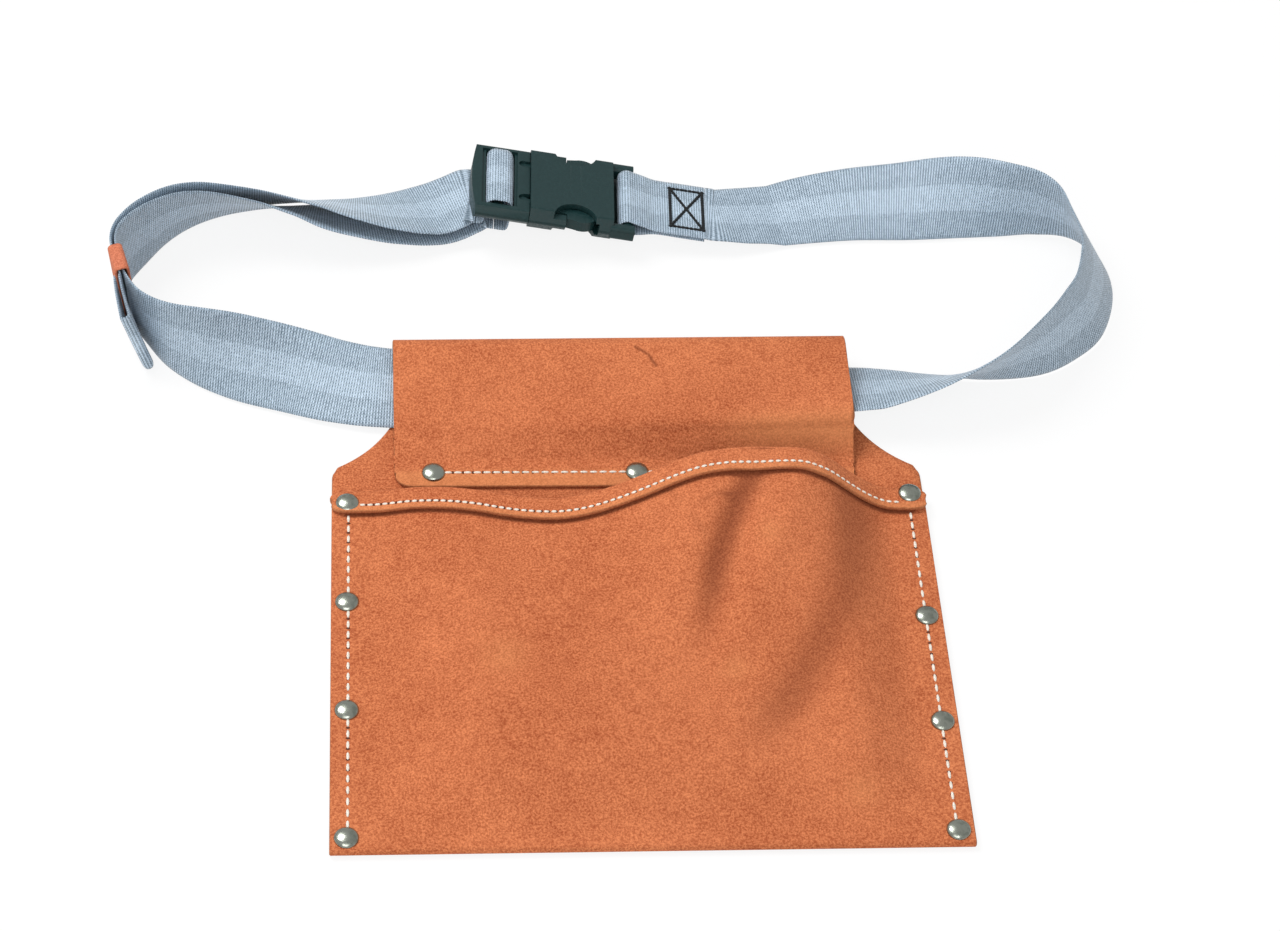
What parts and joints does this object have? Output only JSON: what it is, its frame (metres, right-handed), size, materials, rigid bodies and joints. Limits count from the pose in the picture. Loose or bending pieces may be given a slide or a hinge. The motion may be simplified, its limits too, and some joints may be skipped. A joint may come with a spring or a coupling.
{
  "type": "tool belt",
  "caption": "Carpenter's tool belt: one open leather nail pouch hung by a sewn loop on a webbing waist strap with a side-release buckle and a tail keeper.",
  "frame": {"origin": "on the pouch's back face, mid-width, just above the flap's seam", "axes": "+X along the belt, +Y from the pouch's foot towards its belt loop, +Z out of the pouch's front"},
  "size_m": [0.4756, 0.3947, 0.0447],
  "materials": {
    "leather": "tan suede split leather",
    "webbing": "silver-grey ribbed webbing",
    "black_plastic": "moulded black acetal",
    "nickel": "nickel-plated rivets",
    "white_thread": "waxed white thread",
    "black_thread": "black polyester thread"
  },
  "bodies": {
    "pouch": {"back_panel": "leather", "belt_loop_fold": "leather", "belt_loop_flap": "leather", "front_panel": "leather", "side_rivet_caps": "nickel", "side_rivet_burrs": "nickel", "flap_rivet_caps": "nickel", "flap_rivet_burrs": "nickel", "left_seam_thread": "white_thread", "right_seam_thread": "white_thread", "flap_seam_thread": "white_thread"},
    "belt": {"strap_front": "webbing", "strap_right": "webbing", "strap_buckle_loop": "webbing", "box_stitch_thread": "black_thread", "strap_back_left": "webbing", "strap_tail": "webbing", "tail_hem": "webbing", "buckle_socket": "black_plastic"},
    "plug": {"buckle_plug": "black_plastic", "strap_adjuster_wrap": "webbing"},
    "upper_prong": {"upper_prong": "black_plastic"},
    "lower_prong": {"lower_prong": "black_plastic"},
    "keeper": {"strap_keeper": "leather"}
  },
  "joints": [
    {"name": "belt_slide", "type": "slide", "parent": "pouch", "child": "belt", "axis": [1, 0, 0], "range_m": [-0.012, 0.012]},
    {"name": "plug_slide", "type": "slide", "parent": "belt", "child": "plug", "axis": [-0.9879, 0.0691, 0.1392], "range_m": [0, 0.04], "deforming": ["strap_back_left", "strap_tail", "upper_prong", "lower_prong"]},
    {"name": "upper_prong_squeeze", "type": "hinge", "parent": "plug", "child": "upper_prong", "pos_m": [-0.04172, 0.16827, 0.01643], "axis": [0.1472, 0.1292, 0.9806], "range_deg": [-9, 0], "stiffness_Nm_per_rad": 0.5},
    {"name": "lower_prong_squeeze", "type": "hinge", "parent": "plug", "child": "lower_prong", "pos_m": [-0.04301, 0.14255, 0.02001], "axis": [0.1472, 0.1292, 0.9806], "range_deg": [0, 9], "stiffness_Nm_per_rad": 0.5},
    {"name": "keeper_slide", "type": "slide", "parent": "belt", "child": "keeper", "axis": [-0.2504, 0.9681, 0], "range_m": [0, 0.005]}
  ]
}
